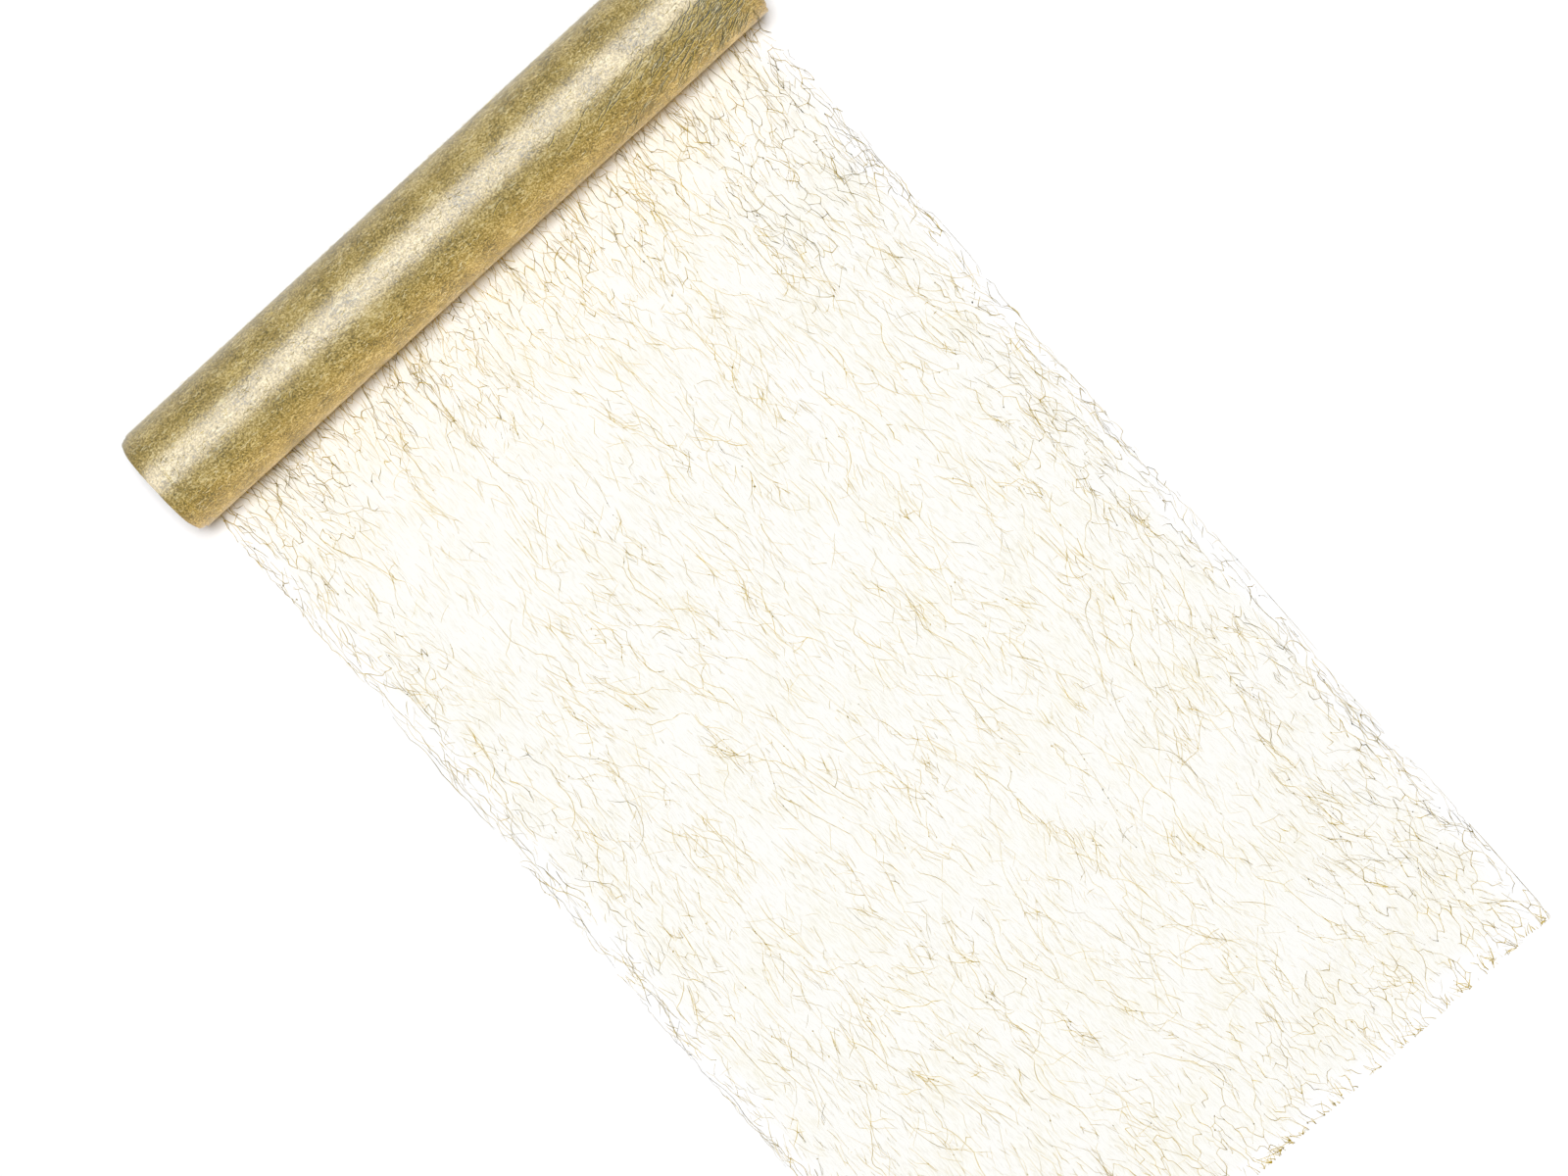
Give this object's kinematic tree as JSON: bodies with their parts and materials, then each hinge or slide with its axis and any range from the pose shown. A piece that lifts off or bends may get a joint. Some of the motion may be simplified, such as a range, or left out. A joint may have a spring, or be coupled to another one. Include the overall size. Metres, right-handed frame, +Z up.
{
  "type": "gift web roll",
  "caption": "Roll of open metallic fibre gift web on a paperboard core, with its first half metre drawn out flat.",
  "frame": {"origin": "under the middle of the whole object, on the surface that it lies on", "axes": "+X along the roll's axis, +Z up, and the web is drawn out towards -Y, so the roll is at +Y"},
  "size_m": [0.3044, 0.5152, 0.0477],
  "materials": {
    "gold_web": "metallic gold fibre, satin",
    "core_board": "matte kraft paperboard",
    "tape": "matte adhesive tape"
  },
  "bodies": {
    "laid_web": {"laid_web_front": "gold_web", "laid_web_rear": "gold_web"},
    "lead_off": {"loose_wrap": "gold_web"},
    "roll": {"core_inner_ply": "core_board", "core_middle_ply": "core_board", "core_outer_ply": "core_board", "start_tape": "tape", "wound_web": "gold_web", "outer_turn": "gold_web"}
  },
  "joints": [
    {"name": "roll_travel", "type": "slide", "parent": "laid_web", "child": "lead_off", "axis": [0, -1, 0], "range_m": [0, 0.376], "deforming": ["laid_web_rear"]},
    {"name": "roll_spin", "type": "hinge", "parent": "lead_off", "child": "roll", "pos_m": [0.00219, 0.2335, 0.02411], "axis": [1, 0, 0], "range_deg": [0, 900]}
  ],
  "couplings": [
    {"joint": "roll_spin", "follows": "roll_travel", "rad_per_m": 41.473}
  ]
}
